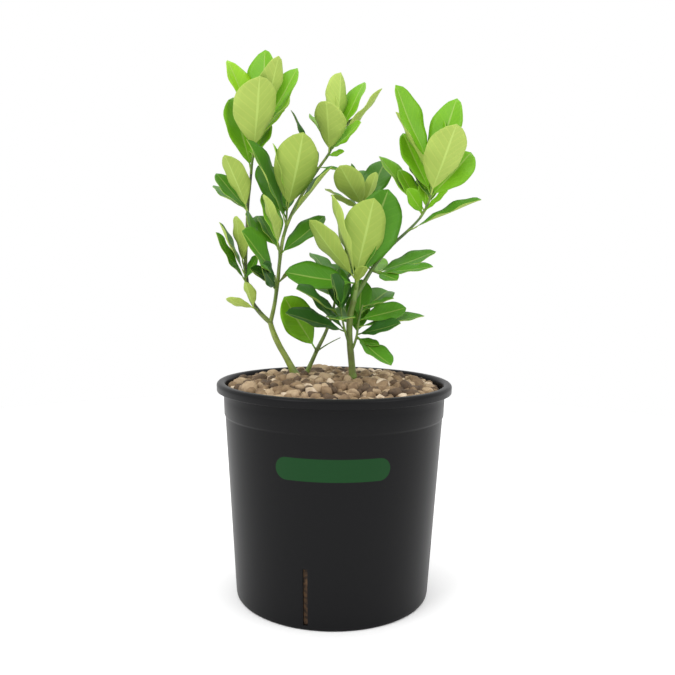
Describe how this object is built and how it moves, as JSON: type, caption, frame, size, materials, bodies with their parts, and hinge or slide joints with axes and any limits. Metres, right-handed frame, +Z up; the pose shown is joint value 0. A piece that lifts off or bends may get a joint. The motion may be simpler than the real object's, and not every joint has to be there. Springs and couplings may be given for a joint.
{
  "type": "potted citrus plant",
  "caption": "Young lemon tree with slender forked stems and broad blunt leaves, in a tapered black nursery pot with a turned-down lip, filled with soil under gravel",
  "frame": {"origin": "centre of the pot's flat underside, where it stands", "axes": "+Z up along the pot's axis, the front that the picture shows faces -Y, +X to the right as seen from the front"},
  "size_m": [0.2647, 0.2304, 0.5334],
  "materials": {
    "pot": "satin",
    "growing_medium": "rough",
    "gravel": "rough",
    "stems": "satin",
    "boughs": "satin",
    "leaves": "satin"
  },
  "bodies": {
    "root": {"pot": "pot", "growing_medium": "growing_medium", "gravel": "gravel", "stem_left": "stems", "stem_middle": "stems", "stem_right": "stems", "bough_left": "boughs", "bough_inner": "boughs", "bough_centre": "boughs", "bough_right": "boughs", "leaves_top_left": "leaves", "leaves_left_upper": "leaves", "leaves_left_lower": "leaves", "leaves_left_foot": "leaves", "leaves_inner_low": "leaves", "leaves_inner_middle": "leaves", "leaves_inner_top": "leaves", "leaves_inner_upper": "leaves", "leaves_top_middle": "leaves", "leaves_centre_top": "leaves", "leaves_centre": "leaves", "leaves_right_middle": "leaves", "leaves_centre_low": "leaves", "leaves_right_low": "leaves", "leaves_middle_low": "leaves", "leaves_middle_top": "leaves", "leaves_top_right": "leaves", "leaf_right": "leaves"}
  },
  "joints": []
}
